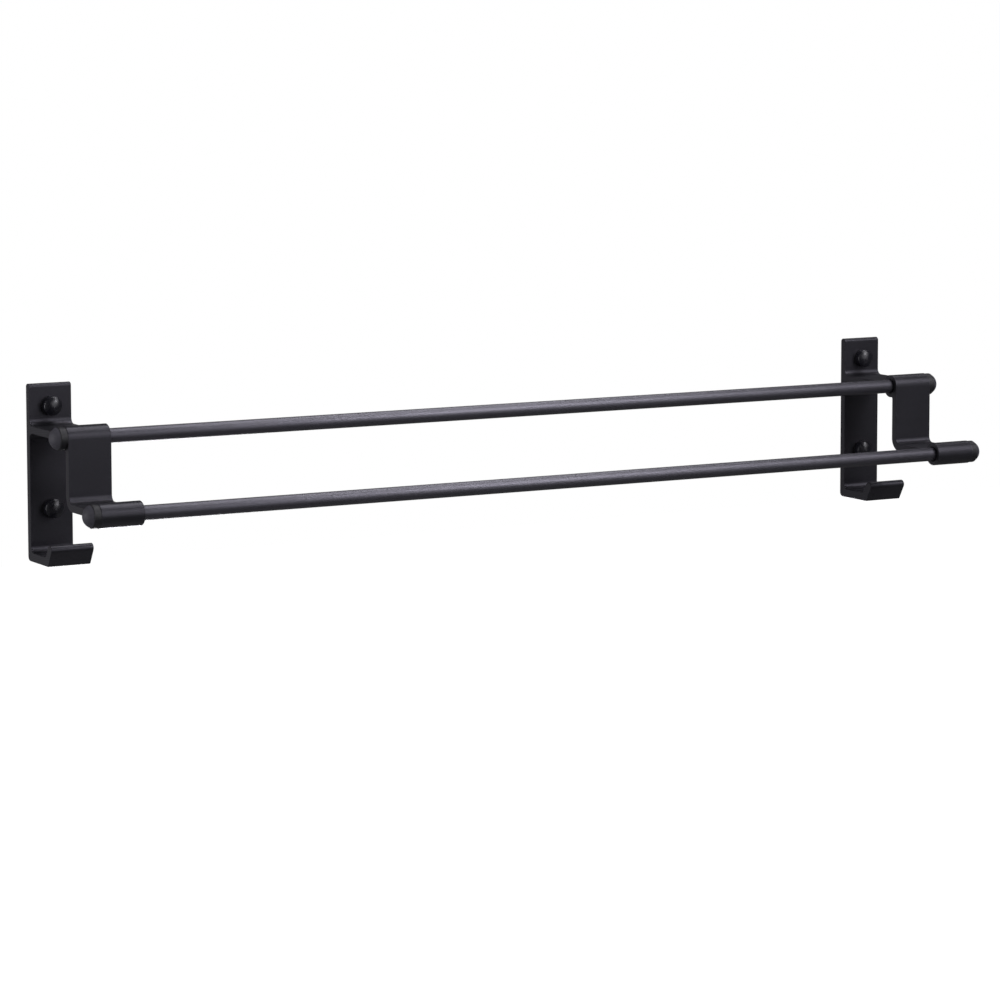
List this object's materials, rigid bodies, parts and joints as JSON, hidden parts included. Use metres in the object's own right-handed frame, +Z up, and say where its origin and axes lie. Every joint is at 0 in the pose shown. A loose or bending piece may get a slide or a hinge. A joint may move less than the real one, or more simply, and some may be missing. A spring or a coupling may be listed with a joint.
{
  "type": "double towel rack",
  "caption": "Wall-mounted towel rail in satin black: stepped end brackets carry an upper and a lower round bar, with an open hook under each bracket and domed screw covers.",
  "frame": {"origin": "middle of the rectangle of the wall screws, on the wall plane", "axes": "+X along the bars to the viewer's right, +Y into the wall, +Z up; the front faces -Y"},
  "size_m": [0.6038, 0.1259, 0.102],
  "materials": {
    "bracket_black": "extruded aluminium, satin black anodised",
    "bar_black": "drawn aluminium tube, satin black anodised",
    "cap_plastic": "moulded black ABS, semi-gloss",
    "cover_plastic": "moulded black ABS, semi-gloss",
    "washer_plastic": "moulded black nylon, matt",
    "screw_steel": "zinc plated steel",
    "set_screw_steel": "black oxide steel"
  },
  "bodies": {
    "rack": {"left_bracket": "bracket_black", "right_bracket": "bracket_black", "upper_bar": "bar_black", "lower_bar": "bar_black", "left_upper_end_cap": "cap_plastic", "left_lower_end_cap": "cap_plastic", "right_upper_end_cap": "cap_plastic", "right_lower_end_cap": "cap_plastic", "left_upper_cover_washer": "washer_plastic", "left_lower_cover_washer": "washer_plastic", "right_upper_cover_washer": "washer_plastic", "right_lower_cover_washer": "washer_plastic", "left_upper_wall_screw": "screw_steel", "left_lower_wall_screw": "screw_steel", "right_upper_wall_screw": "screw_steel", "right_lower_wall_screw": "screw_steel", "left_upper_set_screw": "set_screw_steel", "left_lower_set_screw": "set_screw_steel", "right_upper_set_screw": "set_screw_steel", "right_lower_set_screw": "set_screw_steel"},
    "left_upper_screw_cover": {"left_upper_screw_cover": "cover_plastic"},
    "left_lower_screw_cover": {"left_lower_screw_cover": "cover_plastic"},
    "right_upper_screw_cover": {"right_upper_screw_cover": "cover_plastic"},
    "right_lower_screw_cover": {"right_lower_screw_cover": "cover_plastic"}
  },
  "joints": [
    {"name": "left_upper_screw_cover_pull", "type": "slide", "parent": "rack", "child": "left_upper_screw_cover", "axis": [0, -1, 0], "range_m": [0, 0.012]},
    {"name": "left_lower_screw_cover_pull", "type": "slide", "parent": "rack", "child": "left_lower_screw_cover", "axis": [0, -1, 0], "range_m": [0, 0.012]},
    {"name": "right_upper_screw_cover_pull", "type": "slide", "parent": "rack", "child": "right_upper_screw_cover", "axis": [0, -1, 0], "range_m": [0, 0.012]},
    {"name": "right_lower_screw_cover_pull", "type": "slide", "parent": "rack", "child": "right_lower_screw_cover", "axis": [0, -1, 0], "range_m": [0, 0.012]}
  ]
}
